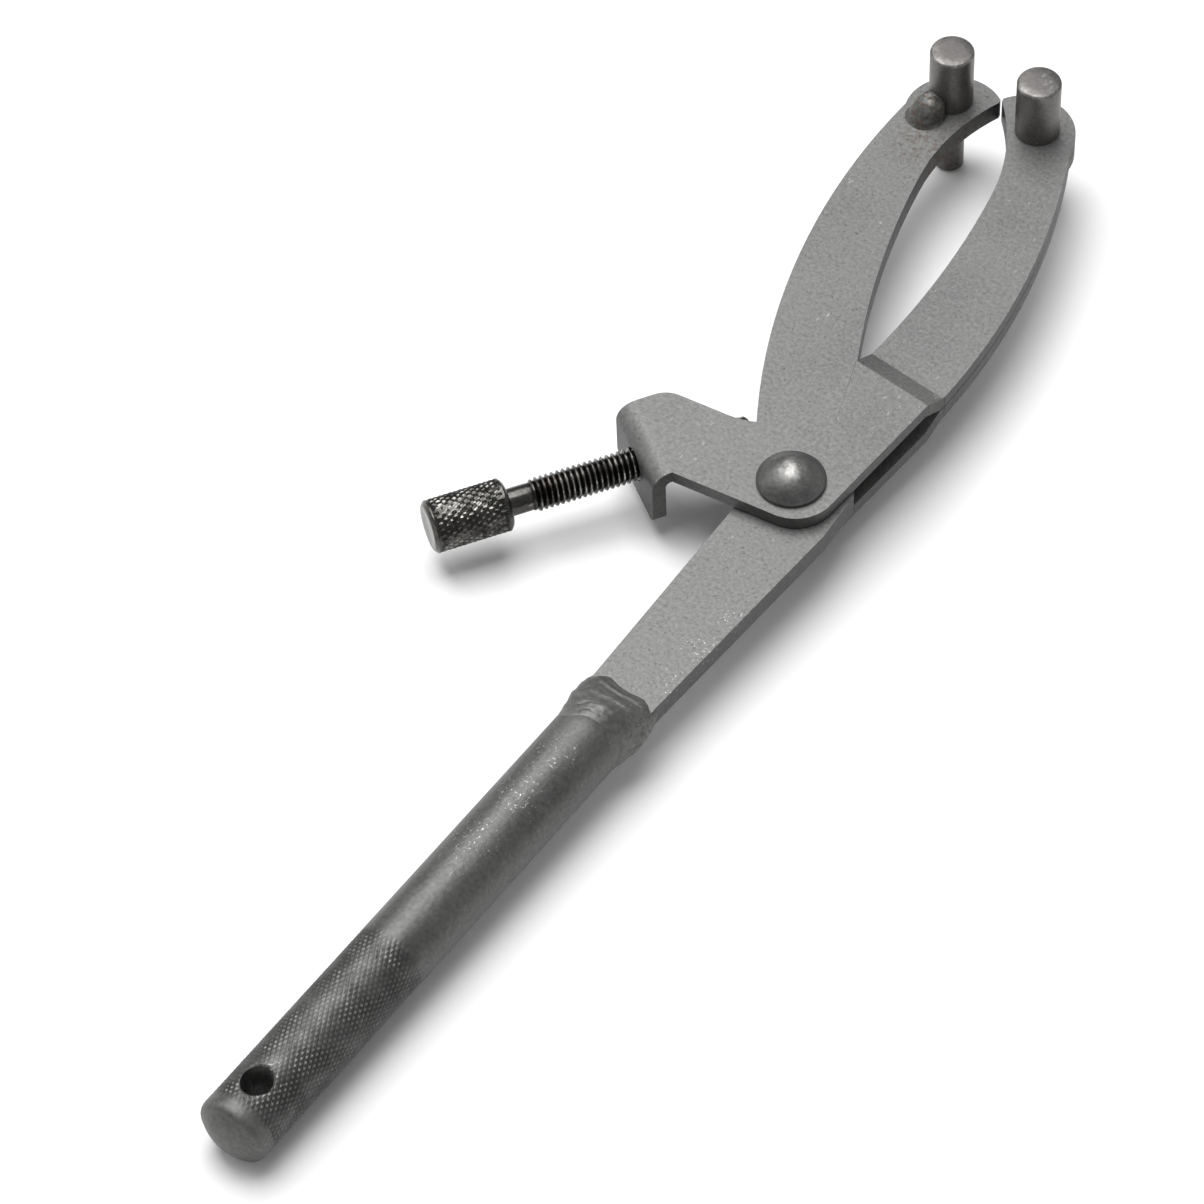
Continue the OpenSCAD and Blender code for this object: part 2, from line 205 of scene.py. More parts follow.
plateSteel = steelMaterial(
    "plateSteel", plateFinish,
    rustSpots=[(spotAt("fixed_pin", 2, -12, -3), 0.010, 0.75),
               (spotAt("fixed_pin", 6, -3, -4), 0.008, 0.95),
               (spotAt("fixed_pin", 3, -9, -6), 0.009, 0.95),
               (spotAt("fixed_pin", -14, -52, -3), 0.009, 0.4)],
    brightSpots=[(spotAt("pivot_rivet", 13, 22, 5), 0.006), (spotAt("pivot_rivet", 12, 27, 5), 0.005),
                 (spotAt("handle_weld", 6, 10, 2), 0.0045), (spotAt("handle_weld", 5, 18, 2), 0.005),
                 (spotAt("handle_weld", 5, 27, 2), 0.0045)])
handleSteel = steelMaterial(
    "handleSteel", handleFinish,
    brightSpots=[(spotAt("handle", -1, 16, 6), 0.007), (spotAt("handle", -1, 28, 6), 0.008),
                 (spotAt("handle", 0, 38, 6), 0.006), (spotAt("handle", 1, -38, 6), 0.005)])
weldSteel = steelMaterial("weldSteel", weldFinish, rustSpots=[(spotAt("pin_weld"), 0.006, 0.7)],
                          brightSpots=[(spotAt("handle_weld", 5, 1, 3), 0.004)])
pinSteel = steelMaterial("pinSteel", pinFinish, rustSpots=[(spotAt("fixed_pin", 0, 0, -13), 0.006, 0.8)])
rivetSteel = steelMaterial("rivetSteel", rivetFinish,
                           brightSpots=[(spotAt("pivot_rivet", 1, 1, 8.8), 0.0028)])
screwSteel = steelMaterial("screwSteel", screwFinish,
                           rustSpots=[(spotAt("thumb_screw", -3, -5, 0), 0.005, 0.5)])
print("finishes made")


def newPiece(name, mesh):
    piece = bpy.data.objects.new(name, mesh)
    scene.collection.objects.link(piece)
    return piece


def baked(piece):
    bpy.context.view_layer.update()
    graph = bpy.context.evaluated_depsgraph_get()
    mesh = bpy.data.meshes.new_from_object(piece.evaluated_get(graph))
    piece.modifiers.clear()
    piece.data = mesh
    return piece


def latheMesh(name, profile, around, axisPlace=None):
    shape = bmesh.new()
    rings = []
    for along, radius in profile:
        if radius < 1e-7:  # a point on the axis
            rings.append([shape.verts.new((0, along, 0))])
            continue
        rings.append([shape.verts.new((radius * math.cos(turn), along, radius * math.sin(turn)))
                      for turn in (2 * math.pi * i / around for i in range(around))])
    for low, high in zip(rings, rings[1:]):
        for i in range(around):
            j = (i + 1) % around
            ring = [low[i % len(low)], high[i % len(high)], high[j % len(high)], low[j % len(low)]]
            ring = [v for k, v in enumerate(ring) if v not in ring[:k]]
            if len(ring) > 2:
                shape.faces.new(ring)
    bmesh.ops.recalc_face_normals(shape, faces=shape.faces)
    mesh = bpy.data.meshes.new(name)
    shape.to_mesh(mesh)
    shape.free()
    if axisPlace is not None:
        mesh.transform(axisPlace)
    return mesh


def smoothed(mesh, angle):
    for face in mesh.polygons:
        face.use_smooth = True
    mesh.set_sharp_from_angle(angle=math.radians(angle))


def markWorn(mesh, measure):
    layer = mesh.attributes.new("worn", "FLOAT", "POINT")
    layer.data.foreach_set("value", [measure(v.co) for v in mesh.vertices])


def finishPiece(piece, node, body, material):
    piece.data.materials.clear()
    piece.data.materials.append(material)
    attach(piece, body)
    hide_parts(node)
    print(piece.name, "done,", len(piece.data.polygons), "faces")


plateSpec = {
    "mergeWithin": 0.002, "flatTolerance": 0.15,
    "foldRound": 1.3, "foldSteps": 5, "foldLongerThan": 8, "foldAngles": (0.3, 0.7), "foldFaceUp": 0.7,
    "edgeRound": 0.28, "edgeSteps": 3, "edgeAngle": 42,
    # painted shade on steep walls and rounded edges: where it starts, its strength, and the edges' least
    # amount
    "shadeFrom": 0.85, "scale": 0.62, "edgeShade": 0.5,
}


def isFold(edge):
    spec = plateSpec
    low, high = spec["foldAngles"]
    return (len(edge.link_faces) == 2 and edge.calc_length() > spec["foldLongerThan"] * mm
            and low < edge.calc_face_angle(0) < high
            and all(abs(face.normal.z) > spec["foldFaceUp"] for face in edge.link_faces))


def platePiece(name, node, body, folded):
    spec = plateSpec
    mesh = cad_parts[node].data.copy()
    shape = bmesh.new()
    shape.from_mesh(mesh)
    bmesh.ops.remove_doubles(shape, verts=shape.verts, dist=spec["mergeWithin"] * mm)
    bmesh.ops.dissolve_limit(shape, angle_limit=math.radians(spec["flatTolerance"]),
                             verts=shape.verts, edges=shape.edges)
    shape.normal_update()
    if folded:
        folds = [edge for edge in shape.edges if isFold(edge)]
        print(name, "folds", len(folds))
        bmesh.ops.bevel(shape, geom=folds, offset=spec["foldRound"] * mm, segments=spec["foldSteps"],
                        profile=0.5, affect="EDGES", clamp_overlap=True)
    shape.to_mesh(mesh)
    shape.free()
    for layer in [a.name for a in mesh.attributes if a.name in ("custom_normal", "sharp_face", "sharp_edge")]:
        mesh.attributes.remove(mesh.attributes[layer])
    piece = newPiece(name, mesh)
    mesh.materials.clear()
    for place in range(2):  # the second place marks the faces of the rounded edges
        mesh.materials.append(plateSteel)
    for face in mesh.polygons:
        face.use_smooth = True
        face.material_index = 0
    bevel = piece.modifiers.new("edgeRound", "BEVEL")
    bevel.width = spec["edgeRound"] * mm
    bevel.segments = spec["edgeSteps"]
    bevel.limit_method = "ANGLE"
    bevel.angle_limit = math.radians(spec["edgeAngle"])
    bevel.harden_normals = True
    bevel.material = 1
    baked(piece)
    mesh = piece.data
    rubbed = mesh.attributes.new("worn", "FLOAT", "CORNER")
    shaded = mesh.attributes.new("groove", "FLOAT", "CORNER")
    for face in mesh.polygons:  # painted shade: sheared walls and the flange are darkened by how steeply they stand, and the rounded edges by a set least amount
        steep = max(0.0, 1 - abs(face.normal.z) / spec["shadeFrom"]) * spec["scale"]
        onEdge = face.material_index == 1
        for corner in face.loop_indices:
            rubbed.data[corner].value = float(onEdge)
            shaded.data[corner].value = max(steep, spec["edgeShade"]) if onEdge else steep
        face.material_index = 0
    finishPiece(piece, node, body, plateSteel)


platePiece("fixedJawPlate", "fixed_jaw", "frame", False)
platePiece("movingUpperPlate", "upper_jaw_plate", "moving_jaw", True)
platePiece("movingLowerPlate", "lower_jaw_plate", "moving_jaw", True)
print("plates made")


def newTree(name, takes, gives):
    tree = bpy.data.node_groups.new(name, "GeometryNodeTree")
    for label, kind in takes:
        tree.interface.new_socket(label, in_out="INPUT", socket_type="NodeSocket" + kind)
    tree.interface.new_socket(gives, in_out="OUTPUT", socket_type="NodeSocketGeometry")
    return tree, tree.nodes.new("NodeGroupInput").outputs


def noteValue(add, geometry, name, value):
    return add("GeometryNodeStoreNamedAttribute", {"data_type": "FLOAT", "domain": "POINT"},
               Geometry=geometry, Name=name, Value=value).outputs[0]


def closeTree(tree, add, geometry, finish):
    real = add("GeometryNodeRealizeInstances", i0=geometry).outputs[0]
    painted = add("GeometryNodeSetMaterial", Geometry=real, Material=finish).outputs[0]
    tree.links.new(painted, tree.nodes.new("NodeGroupOutput").inputs[0])
    return tree


rubPattern = {"size": 160.0, "from": 0.35, "to": 0.75}  # where hands have flattened a knurl


def knurlTree():
    tree, given = newTree("diamondKnurl", [
        ("Tube", "Geometry"), ("Diamonds Around", "Int"), ("Lead", "Float"), ("Depth", "Float"),
        ("First", "Float"), ("Last", "Float"), ("Run Out", "Float"), ("Crest Flat", "Float"),
        ("Rubbed", "Float"), ("Seed", "Float"), ("Finish", "Material")], "Knurled")
    add = nodeAdder(tree)
    calc = calcAdder(add)

    def step(value, low, high):
        return add("ShaderNodeMapRange", {"interpolation_type": "SMOOTHSTEP"}, Value=value,
                   i1=low, i2=high, i3=0.0, i4=1.0).outputs[0]

    position = add("GeometryNodeInputPosition").outputs[0]
    parts = add("ShaderNodeSeparateXYZ", i0=position).outputs
    turn = calc("DIVIDE", calc("ARCTAN2", parts[2], parts[0]), 2 * math.pi)
    aroundCount = calc("MULTIPLY", turn, given["Diamonds Around"])
    along = calc("DIVIDE", calc("SUBTRACT", parts[1], given["First"]), given["Lead"])
    rightHand = calc("MULTIPLY", calc("PINGPONG", calc("ADD", aroundCount, along), 0.5), 2.0)
    leftHand = calc("MULTIPLY", calc("PINGPONG", calc("SUBTRACT", aroundCount, along), 0.5), 2.0)
    crest = calc("DIVIDE", calc("MINIMUM", calc("MINIMUM", rightHand, leftHand), given["Crest Flat"]),
                 given["Crest Flat"])
    start = step(parts[1], given["First"], calc("ADD", given["First"], given["Run Out"]))
    stop = step(parts[1], given["Last"], calc("SUBTRACT", given["Last"], given["Run Out"]))
    wear = add("ShaderNodeTexNoise", {"noise_dimensions": "4D"}, Vector=position, W=given["Seed"],
               Scale=rubPattern["size"], Detail=2.0).outputs[0]
    flattened = calc("MULTIPLY", given["Rubbed"], step(wear, rubPattern["from"], rubPattern["to"]))
    zone = calc("MULTIPLY", calc("MULTIPLY", start, stop), calc("SUBTRACT", 1.0, flattened))
    sink = calc("MULTIPLY", calc("MULTIPLY", calc("SUBTRACT", crest, 1.0), given["Depth"]), zone)
    flat = add("ShaderNodeCombineXYZ", i0=parts[0], i2=parts[2]).outputs[0]
    outward = add("ShaderNodeVectorMath", {"operation": "NORMALIZE"}, i0=flat).outputs[0]
    shift = add("ShaderNodeVectorMath", {"operation": "SCALE"}, i0=outward, i3=sink).outputs[0]
    moved = add("GeometryNodeSetPosition", Geometry=given["Tube"], Offset=shift).outputs[0]
    # the crests get a painted highlight along with their wear
    noted = noteValue(add, moved, "worn", calc("MULTIPLY", calc("POWER", crest, 2.0), zone))
    # the grooves get a painted shade
    noted = noteValue(add, noted, "groove", calc("MULTIPLY", calc("SUBTRACT", 1.0, crest), zone))
    return closeTree(tree, add, noted, given["Finish"])


knurl = knurlTree()


def setInputs(modifier, values):
    for item in modifier.node_group.interface.items_tree:
        if getattr(item, "in_out", "") == "INPUT" and item.name in values:
            modifier[item.identifier] = values[item.name]


def knurled(piece, values):
    cutter = piece.modifiers.new("knurl", "NODES")
    cutter.node_group = knurl
    setInputs(cutter, values)
    return baked(piece)


handleSpec = {
    "radius": 6.35, "back": -9.5, "front": 88.0, "domeHeight": 2.6, "rimRound": 0.9,
    "knurlFirst": -5.4, "knurlLast": 34.0, "diamonds": 44, "lead": 1.6, "depth": 0.24,
    "runOut": 1.6, "crestFlat": 0.8, "rubbed": 0.6, "seed": 3.0, "rowsPerLead": 4, "plainStep": 2,
    "domeSteps": 10, "rimLength": 1.6, "rimSteps": 6, "frontChamfer": 0.5, "around": 176,
    "holeRadius": 2.65, "holeChamfer": 0.55, "cutterReach": 9, "cutterFlare": 3.2, "rimRub": 1.3,
}


def makeHandle():
    spec = handleSpec
    r, back, dome = spec["radius"], spec["back"], spec["domeHeight"]
    domeRadius = (r * r + dome * dome) / (2 * dome)
    rim = math.degrees(math.asin((r - spec["rimRound"]) / domeRadius))
    steps = spec["domeSteps"]
    profile = [(back + domeRadius * (1 - math.cos(math.radians(rim * i / steps))),
                domeRadius * math.sin(math.radians(rim * i / steps))) for i in range(steps + 1)]
    last = profile[-1]
    for i in range(1, spec["rimSteps"] + 1):  # the rim turns over into the rod
        part = i / spec["rimSteps"]
        profile.append((last[0] + spec["rimLength"] * part ** 1.5, r - (r - last[1]) * (1 - part) ** 1.8))
    step = spec["lead"] / spec["rowsPerLead"]
    along = spec["knurlFirst"]
    while along < spec["knurlLast"] + 0.1:
        profile.append((along, r))
        along += step
    plain = spec["plainStep"]
    along = spec["knurlLast"] + plain
    while along < spec["front"] - plain:
        profile.append((along, r))
        along += plain
    front, chamfer = spec["front"], spec["frontChamfer"]
    profile += [(front - chamfer, r), (front, r - chamfer), (front, 0)]
    mesh = latheMesh("handleRod", [(a * mm, q * mm) for a, q in profile], spec["around"])
    piece = newPiece("handleRod", mesh)
    knurled(piece, {"Diamonds Around": spec["diamonds"], "Lead": spec["lead"] * mm,
                    "Depth": spec["depth"] * mm,
                    "First": spec["knurlFirst"] * mm, "Last": spec["knurlLast"] * mm,
                    "Run Out": spec["runOut"] * mm, "Crest Flat": spec["crestFlat"],
                    "Rubbed": spec["rubbed"], "Seed": spec["seed"], "Finish": handleSteel})
    # cross hole with a countersunk rim at both ends
    hole, flare = spec["holeRadius"], spec["holeChamfer"]
    reach = spec["cutterReach"]
    half = [(r - flare, hole), (r, hole + flare), (reach, hole + spec["cutterFlare"]), (reach, 0)]
    cut = [(-a, q) for a, q in reversed(half)] + half
    cutter = newPiece("holeCutter", latheMesh("holeCutter", [(a * mm, q * mm) for a, q in cut], 96,
                                              Matrix.Rotation(math.radians(90), 4, "X")))
    drill = piece.modifiers.new("drill", "BOOLEAN")
    drill.operation = "DIFFERENCE"
    drill.solver = "EXACT"
    drill.object = cutter
    baked(piece)
    bpy.data.objects.remove(cutter)
    smoothed(piece.data, 50)
    rubbed = piece.data.attributes["worn"].data
    for v in piece.data.vertices:  # the hole's rim is rubbed by its hook
        onRim = hole < math.hypot(v.co.x, v.co.y) / mm < hole + flare + 0.1
        if onRim and abs(v.co.z) / mm > r - spec["rimRub"]:
            rubbed[v.index].value = 1.0
    finishPiece(piece, "handle", "frame", handleSteel)


makeHandle()


weldSpec = {  # lists run from the rod, 0, to the bar, 1, and a wave is its height, count and shift
    "around": 120, "rows": 54, "back": 85.6, "front": 96.9, "frontDip": 0.9,
    "backWaves": ((1.1, 2, 0.4), (0.4, 5, 0)), "frontWaves": ((0.35, 3, 0.6), (0.2, 7, 0)),
    "halfWide": [(0, 6.30), (0.06, 6.42), (0.25, 6.75), (0.48, 7.5),
                 (0.7, 7.35), (0.9, 6.95), (0.97, 6.7), (1, 6.0)],
    "halfHigh": [(0, 6.30), (0.06, 6.42), (0.3, 6.3), (0.55, 5.2),
                 (0.8, 3.7), (0.93, 2.7), (0.98, 2.25), (1, 1.7)],
    "squareness": [(0, 2.0), (0.5, 2.1), (1, 2.6)],
    "lump": 0.2, "lumpSize": 4.5, "fine": 0.04, "fineSize": 0.9, "lap": 0.55, "lapWidth": 0.35,
    "wear": 0.35, "wearSize": 420,
}


def between(stops, t):
    for (a, p), (b, q) in zip(stops, stops[1:]):
        if t <= b:
            share = max(0.0, (t - a) / (b - a))
            share = share * share * (3 - 2 * share)
            return p + (q - p) * share
    return stops[-1][1]


def wavy(waves, turn):
    return sum(height * math.sin(count * turn + shift) for height, count, shift in waves)


def makeWeld():
    spec = weldSpec
    shape = bmesh.new()
    rings = []
    for row in range(spec["rows"] + 1):
        t = row / spec["rows"]
        ring = []
        for i in range(spec["around"]):
            turn = 2 * math.pi * i / spec["around"]
            c, s = math.cos(turn), math.sin(turn)
            power = 2 / between(spec["squareness"], t)
            x = math.copysign(abs(c) ** power, c) * between(spec["halfWide"], t)
            z = math.copysign(abs(s) ** power, s) * between(spec["halfHigh"], t)
            edge = spec["front"] - spec["frontDip"] * max(0, c) ** 2 + wavy(spec["frontWaves"], turn)
            start = spec["back"] + wavy(spec["backWaves"], turn)
            y = start + (edge - start) * t
            spot = Vector((x, y, z))
            lump = noise.fractal(spot / spec["lumpSize"], 1.0, 2.0, 3) * spec["lump"]
            lap = abs(noise.noise(Vector((x * 0.30, y * 0.55 - x * 0.2, z * 0.30 + 9)))) ** 0.5
            fine = noise.noise(spot / spec["fineSize"]) * spec["fine"]
            seam = (spec["lapWidth"] - min(spec["lapWidth"], lap)) * spec["lap"]
            fade = min(1, t * 5) * min(1, (1 - t) * 9)  # both edges stay clean
            grow = 1 + (lump + fine - seam) * fade / 6
            ring.append(shape.verts.new((x * grow * mm, y * mm, z * grow * mm)))
        rings.append(ring)
    for low, high in zip(rings, rings[1:]):
        for i in range(spec["around"]):
            j = (i + 1) % spec["around"]
            shape.faces.new((low[i], low[j], high[j], high[i]))
    shape.faces.new(rings[0])
    shape.faces.new(rings[-1])
    bmesh.ops.recalc_face_normals(shape, faces=shape.faces)
    mesh = bpy.data.meshes.new("weldCollar")
    shape.to_mesh(mesh)
    shape.free()
    smoothed(mesh, 60)
    markWorn(mesh, lambda co: spec["wear"] * max(0.0, noise.noise(co * spec["wearSize"])))
    finishPiece(newPiece("weldCollar", mesh), "handle_weld", "frame", weldSteel)


makeWeld()

pinSpec = {"radius": 4.0, "thinRadius": 2.65, "seatRadius": 3.2, "height": 12.4, "length": 28.9,
           "chamfer": 0.4, "fixedFace": 2.0, "movingFace": 2.6, "around": 96}


def makePin(name, node, body, face):
    spec = pinSpec
    r, thin, ch = spec["radius"], spec["thinRadius"], spec["chamfer"]
    top = face + spec["height"]
    low = top - spec["length"]
    profile = [(low, 0), (low, thin - ch - 0.1), (low + 0.04, thin - ch), (low + ch, thin - 0.04),
               (low + ch + 0.1, thin),
               (-face - 0.1, thin), (-face, spec["seatRadius"]), (face, spec["seatRadius"]), (face, r - 0.05),
               (face + 0.05, r)]
    profile += [(face + 0.6 + i * 1.0, r) for i in range(11)]
    profile += [(top - ch - 0.1, r), (top - ch, r - 0.03), (top - ch * 0.45, r - ch * 0.42),
                (top - 0.05, r - ch + 0.02), (top, r - ch - 0.1), (top + 0.03, r * 0.5), (top + 0.02, 0)]
    centre = middleOf(node)
    stand = Matrix.Translation((centre.x, centre.y, 0)) @ Matrix.Rotation(math.radians(90), 4, "X")
    mesh = latheMesh(name, [(a * mm, q * mm) for a, q in profile], spec["around"], stand)
    smoothed(mesh, 40)

    def rimWear(co):
        if math.hypot(co.x - centre.x, co.y - centre.y) / mm <= r - ch - 0.2:
            return 0.0
        return max(0.0, 1 - abs(co.z / mm - (top - ch * 0.5)) / (ch * 0.9))

    markWorn(mesh, rimWear)
    finishPiece(newPiece(name, mesh), node, body, pinSteel)


makePin("fixedPin", "fixed_pin", "frame", pinSpec["fixedFace"])
makePin("movingPin", "moving_pin", "moving_jaw", pinSpec["movingFace"])

nuggetSpec = {"radius": 3.3, "height": 4.2, "sunk": 0.3, "around": 64, "rows": 20, "lean": 1.6,
              "lump": 0.2, "lumpSize": 1.6, "wear": 0.5, "wearSize": 700}


def makeNugget():
    spec = nuggetSpec
    foot = middleOf("pin_weld")
    pin = middleOf("fixed_pin")
    lean = Vector((pin.x - foot.x, pin.y - foot.y, 0)).normalized()
    face, sunk = pinSpec["fixedFace"], spec["sunk"]
    profile = [(face - sunk, 0), (face - sunk, spec["radius"] + 0.1)]
    for i in range(spec["rows"] + 1):
        part = i / spec["rows"]
        profile.append((face + spec["height"] * math.sin(part * math.pi / 2) ** 0.85,
                        spec["radius"] * math.cos(part * math.pi / 2) ** 0.75 + (0.3 if i == 0 else 0)))
    profile[-1] = (profile[-1][0], 0)
    stand = Matrix.Translation((foot.x, foot.y, 0)) @ Matrix.Rotation(math.radians(90), 4, "X")
    mesh = latheMesh("weldNugget", [(a * mm, q * mm) for a, q in profile], spec["around"], stand)
    for v in mesh.vertices:
        rise = max(0.0, v.co.z / mm - face) / spec["height"]
        v.co += lean * rise * spec["lean"] * mm
        lump = noise.fractal((v.co / mm) / spec["lumpSize"], 1.0, 2.0, 3) * spec["lump"]
        swell = lump * min(1, rise * 4 + 0.2)
        v.co += (v.co - Vector((foot.x, foot.y, face * mm))).normalized() * swell * mm
    smoothed(mesh, 60)
    markWorn(mesh, lambda co: spec["wear"] * max(0.0, noise.noise(co * spec["wearSize"])))
    finishPiece(newPiece("weldNugget", mesh), "pin_weld", "frame", weldSteel)


makeNugget()

rivetSpec = {"headRadius": 6.0, "shankRadius": 4.0, "under": 4.8, "height": 4.0, "edge": 0.7, "around": 112,
             "crownSteps": 24, "hammerSize": 0.9, "hammerDepth": 0.07, "wornFrom": 8.3, "wornGain": 1.4}


def makeRivet():
    spec = rivetSpec
    r, edge = spec["headRadius"], spec["edge"]
    dome = spec["height"] - edge
    domeRadius = (r * r + dome * dome) / (2 * dome)
    rim = math.degrees(math.asin(r / domeRadius))
    half = [(spec["under"], spec["shankRadius"]), (spec["under"], r - 0.25), (spec["under"] + 0.12, r - 0.05),
            (spec["under"] + 0.3, r), (spec["under"] + edge - 0.1, r)]
    steps = spec["crownSteps"]
    crown = spec["under"] + spec["height"]
    for i in range(steps + 1):
        turn = math.radians(rim * (1 - i / steps) * 0.985)
        half.append((crown - domeRadius * (1 - math.cos(turn)), domeRadius * math.sin(turn)))
    half[-1] = (half[-1][0], 0)
    profile = [(-a, q) for a, q in reversed(half)] + half
    centre = middleOf("pivot_rivet")
    stand = Matrix.Translation((centre.x, centre.y, 0)) @ Matrix.Rotation(math.radians(90), 4, "X")
    mesh = latheMesh("jawRivet", [(a * mm, q * mm) for a, q in profile], spec["around"], stand)
    for v in mesh.vertices:  # hammered crown
        out = math.hypot(v.co.x - centre.x, v.co.y - centre.y) / mm
        if abs(v.co.z) / mm > spec["under"] + edge and out < r - 0.3:
            dent = noise.noise(v.co / mm * spec["hammerSize"]) * spec["hammerDepth"] * mm
            v.co.z += math.copysign(dent, v.co.z)
    smoothed(mesh, 40)
    markWorn(mesh, lambda co: max(0.0, abs(co.z) / mm - spec["wornFrom"]) * spec["wornGain"])
    finishPiece(newPiece("jawRivet", mesh), "pivot_rivet", "moving_jaw", rivetSteel)


makeRivet()
print("turned pieces made")

screwSpec = {
    "lean": 57.0, "reach": 44.9, "aside": 17.898, "drop": 1.0, "length": 44.37,
    "knobRadius": 4.7, "knobLength": 14.2, "knobChamfer": 0.6,
    "diamonds": 28, "lead": 1.8, "knurlDepth": 0.32,
    "neckLength": 4.0, "neckRadius": 2.45, "threadRadius": 3.0, "threadDepth": 0.62, "pitch": 1.0,
    "knurlRunOut": 0.35, "crestFlat": 0.75, "rubbed": 0.35, "seed": 7.0, "threadRunOut": 1.2,
    "around": 64, "rowsPerTurn": 8, "rowsPerLead": 4,
}


def threadTree():
    tree, given = newTree("screwThread", [
        ("Around", "Int"), ("Rows Per Turn", "Int"), ("Turns", "Int"), ("Pitch", "Float"),
        ("Crest Radius", "Float"), ("Depth", "Float"), ("Run Out", "Float"),
        ("Finish", "Material")], "Thread")
    add = nodeAdder(tree)
    calc = calcAdder(add)

    def ease(value):
        return add("ShaderNodeMapRange", Value=value, i1=0.0, i2=given["Run Out"], i3=0.0, i4=1.0).outputs[0]

    rows = calc("MULTIPLY", given["Rows Per Turn"], calc("ADD", given["Turns"], 1))
    grid = add("GeometryNodeMeshGrid", i0=1.0, i1=1.0, i2=calc("ADD", given["Around"], 1),
               i3=calc("ADD", rows, 1)).outputs[0]
    parts = add("ShaderNodeSeparateXYZ", i0=add("GeometryNodeInputPosition").outputs[0]).outputs
    share = calc("ADD", parts[0], 0.5)
    turn = calc("MULTIPLY", share, 2 * math.pi)
    row = calc("DIVIDE", calc("MULTIPLY", calc("ADD", parts[1], 0.5), rows), given["Rows Per Turn"])
    length = calc("MULTIPLY", given["Turns"], given["Pitch"])
    free = calc("MULTIPLY", calc("SUBTRACT", calc("ADD", row, share), 1.0), given["Pitch"])
    along = calc("MINIMUM", calc("MAXIMUM", free, 0.0), length)
    wave = calc("MULTIPLY", calc("PINGPONG", row, 0.5), 2.0)  # 0 in the root, 1 on the crest
    crest = calc("MINIMUM", calc("MULTIPLY", wave, 1.15), 1.0)
    height = calc("MULTIPLY", crest, calc("MULTIPLY", ease(free), ease(calc("SUBTRACT", length, free))))
    sink = calc("MULTIPLY", given["Depth"], calc("SUBTRACT", 1.0, height))
    radius = calc("SUBTRACT", given["Crest Radius"], sink)
    spot = add("ShaderNodeCombineXYZ", i0=calc("MULTIPLY", radius, calc("COSINE", turn)), i1=along,
               i2=calc("MULTIPLY", radius, calc("SINE", turn))).outputs[0]
    # the thread's crests get a painted highlight along with their wear
    noted = noteValue(add, grid, "worn", calc("POWER", height, 3.0))
    # the thread's root gets a painted shade
    noted = noteValue(add, noted, "groove", calc("SUBTRACT", 1.0, height))
    wound = add("GeometryNodeSetPosition", Geometry=noted, Position=spot).outputs[0]
    # flat ends, whose rims meet the wound sheet
    ends = []
    for place in (0.0, length):
        disc = add("GeometryNodeMeshCircle", {"fill_type": "NGON"}, i0=given["Around"],
                   i1=calc("SUBTRACT", given["Crest Radius"], given["Depth"])).outputs[0]
        ends.append(add("GeometryNodeTransform", Geometry=disc,
                        i1=add("ShaderNodeCombineXYZ", i1=place).outputs[0],
                        Rotation=(math.pi / 2, 0, 0)).outputs[0])
    joined = tree.nodes.new("GeometryNodeJoinGeometry")
    for piece in (wound, *ends):
        tree.links.new(piece, joined.inputs[0])
    merged = add("GeometryNodeMergeByDistance", Geometry=joined.outputs[0], Distance=4e-6).outputs[0]
    return closeTree(tree, add, merged, given["Finish"])


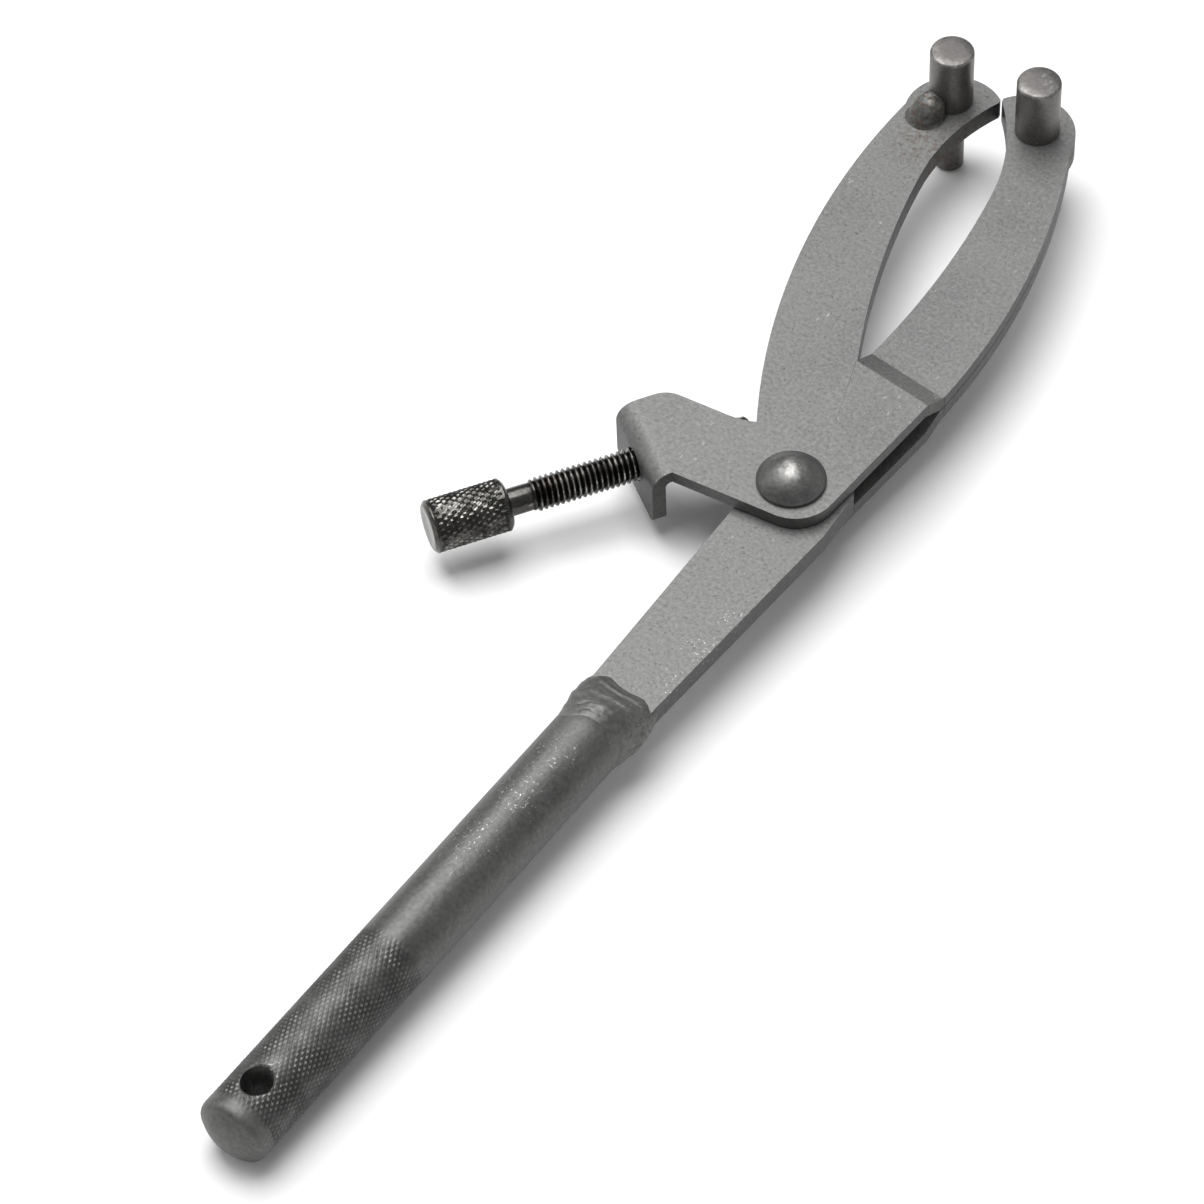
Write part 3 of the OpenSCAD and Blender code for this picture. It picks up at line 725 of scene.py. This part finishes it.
def makeScrew():
    spec = screwSpec
    r, chamfer, knobLong = spec["knobRadius"], spec["knobChamfer"], spec["knobLength"]
    # knob: its knurl stops short of both chamfers
    end = -knobLong
    profile = [(end + 0.12, 0), (end + 0.1, r * 0.45), (end, r * 0.62), (end, r - chamfer - 0.12),
               (end + 0.05, r - chamfer), (end + chamfer - 0.04, r - 0.03), (end + chamfer + 0.08, r)]
    first, last = -knobLong + chamfer + 0.2, -chamfer - 0.15
    step = spec["lead"] / spec["rowsPerLead"]
    count = int((last - first) / step)
    profile += [(first + step * i, r) for i in range(count + 1)]
    profile += [(-chamfer - 0.05, r), (-chamfer + 0.06, r - 0.05), (-0.06, r - chamfer),
                (0, r - chamfer - 0.1), (0, 0)]
    knob = newPiece("knob", latheMesh("knob", [(a * mm, q * mm) for a, q in profile], spec["diamonds"] * 4))
    knurled(knob, {"Diamonds Around": spec["diamonds"], "Lead": spec["lead"] * mm,
                   "Depth": spec["knurlDepth"] * mm, "First": first * mm, "Last": last * mm,
                   "Run Out": spec["knurlRunOut"] * mm, "Crest Flat": spec["crestFlat"],
                   "Rubbed": spec["rubbed"], "Seed": spec["seed"], "Finish": screwSteel})
    neck, root = spec["neckRadius"], spec["threadRadius"] - spec["threadDepth"]
    core = [(-0.4, 0), (-0.4, neck + 0.25), (0.05, neck + 0.2), (0.25, neck),
            (spec["neckLength"] - 0.2, neck), (spec["neckLength"] + 0.25, root - 0.03),
            (spec["length"] - 0.5, root - 0.03), (spec["length"] - 0.1, root - 0.4),
            (spec["length"], root - 0.6), (spec["length"], 0)]
    shaft = newPiece("shaft", latheMesh("shaft", [(a * mm, q * mm) for a, q in core], spec["around"]))
    thread = newPiece("thread", bpy.data.meshes.new("thread"))
    winder = thread.modifiers.new("thread", "NODES")
    winder.node_group = threadTree()
    turns = int((spec["length"] - spec["neckLength"] - 0.4) / spec["pitch"])
    setInputs(winder, {"Around": spec["around"], "Rows Per Turn": spec["rowsPerTurn"], "Turns": turns,
                       "Pitch": spec["pitch"] * mm, "Crest Radius": spec["threadRadius"] * mm,
                       "Depth": spec["threadDepth"] * mm, "Run Out": spec["threadRunOut"] * mm,
                       "Finish": screwSteel})
    baked(thread)
    thread.data.transform(Matrix.Translation((0, spec["neckLength"] * mm, 0)))
    whole = bmesh.new()
    for part in (knob, shaft, thread):
        whole.from_mesh(part.data)
        bpy.data.objects.remove(part)
    bmesh.ops.recalc_face_normals(whole, faces=whole.faces)
    mesh = bpy.data.meshes.new("thumbScrew")
    whole.to_mesh(mesh)
    whole.free()
    pivot = middleOf("pivot_rivet")
    lean = math.radians(spec["lean"])
    along = Vector((math.cos(lean), math.sin(lean), 0))
    side = Vector((-math.sin(lean), math.cos(lean), 0))
    foot = Vector((pivot.x, pivot.y, -spec["drop"] * mm))
    start = foot - along * spec["reach"] * mm + side * spec["aside"] * mm
    mesh.transform(Matrix.Translation(start) @ Matrix.Rotation(lean - math.pi / 2, 4, "Z"))
    smoothed(mesh, 32)
    finishPiece(newPiece("thumbScrew", mesh), "thumb_screw", "screw", screwSteel)


makeScrew()
print("thumb screw made")

stageSpec = {"size": 6.0, "tone": 0.92, "rough": 0.8, "tilt": -1.87, "pinFoot": (0.0, 0.240, -0.0146),
             "skyStrength": 0.36}
lightSpec = {  # place, size and watts
    "overheadSoftbox": ((-0.32, 0.30, 1.0), (0.85, 1.0), 14.5),
    "leftFill": ((-0.9, -0.2, 0.5), (0.5, 0.8), 1.6),
}
lightAim = (-0.01, 0.11, 0)
cameraSpec = {"place": (0.3218, -0.3111, 0.6874), "turn": (0.6647725, 0.0302770, 0.6359056),
              "lens": 156.4, "sensor": 36, "near": 0.05, "far": 20}


def makeStage():
    floorMesh = bpy.data.meshes.new("floor")
    half = stageSpec["size"] / 2
    corners = [(-half, -half, 0), (half, -half, 0), (half, half, 0), (-half, half, 0)]
    floorMesh.from_pydata(corners, [], [(0, 1, 2, 3)])
    floorMesh.transform(Matrix.Translation(stageSpec["pinFoot"])
                        @ Matrix.Rotation(math.radians(stageSpec["tilt"]), 4, "X"))
    floor = newPiece("floor", floorMesh)
    paper = bpy.data.materials.new("paper")
    paper.use_nodes = True
    tone = stageSpec["tone"]
    shader = paper.node_tree.nodes["Principled BSDF"]
    shader.inputs["Base Color"].default_value = (tone, tone, tone, 1)
    shader.inputs["Roughness"].default_value = stageSpec["rough"]
    floorMesh.materials.append(paper)


def areaLight(name, place, size, watts):
    lamp = bpy.data.lights.new(name, "AREA")
    lamp.shape = "RECTANGLE"
    lamp.size, lamp.size_y = size
    lamp.energy = watts
    stand = bpy.data.objects.new(name, lamp)
    scene.collection.objects.link(stand)
    stand.location = place
    stand.rotation_euler = (Vector(lightAim) - Vector(place)).to_track_quat("-Z", "Y").to_euler()


def makeCamera():
    spec = cameraSpec
    camera = bpy.data.objects.new("camera", bpy.data.cameras.new("camera"))
    scene.collection.objects.link(camera)
    camera.data.lens = spec["lens"]
    camera.data.sensor_width = spec["sensor"]
    camera.data.clip_start, camera.data.clip_end = spec["near"], spec["far"]
    camera.location = spec["place"]
    camera.rotation_euler = spec["turn"]
    scene.camera = camera


makeStage()
for name, (place, size, watts) in lightSpec.items():
    areaLight(name, place, size, watts)
world = bpy.data.worlds.new("studio")
world.use_nodes = True
sky = world.node_tree.nodes["Background"]
sky.inputs[0].default_value = (1, 1, 1, 1)
sky.inputs[1].default_value = stageSpec["skyStrength"]
scene.world = world
scene.view_settings.view_transform = "Standard"
makeCamera()
print("stage set")
